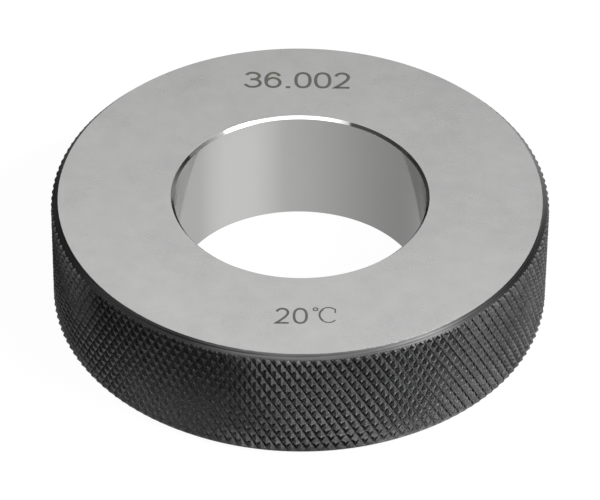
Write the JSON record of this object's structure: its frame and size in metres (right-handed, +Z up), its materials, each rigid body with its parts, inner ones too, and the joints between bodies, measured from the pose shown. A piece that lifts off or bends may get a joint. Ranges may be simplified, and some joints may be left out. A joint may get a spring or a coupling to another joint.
{
  "type": "setting ring gauge",
  "caption": "Thick hardened steel ring with a lapped gauge bore, ground faces and a knurled rim, for setting bore gauges.",
  "frame": {"origin": "centre of the bore at the lower ground face, which the ring lies on", "axes": "+Z up along the bore's axis; -Y towards the side of the upper face that carries the temperature mark, +Y towards the size mark"},
  "size_m": [0.071, 0.071, 0.018],
  "materials": {
    "ring_steel": "ground bright on both faces and lapped in the bore, black oxide on the knurled rim and its chamfers"
  },
  "bodies": {
    "root": {"setting_ring": "ring_steel"}
  },
  "joints": []
}
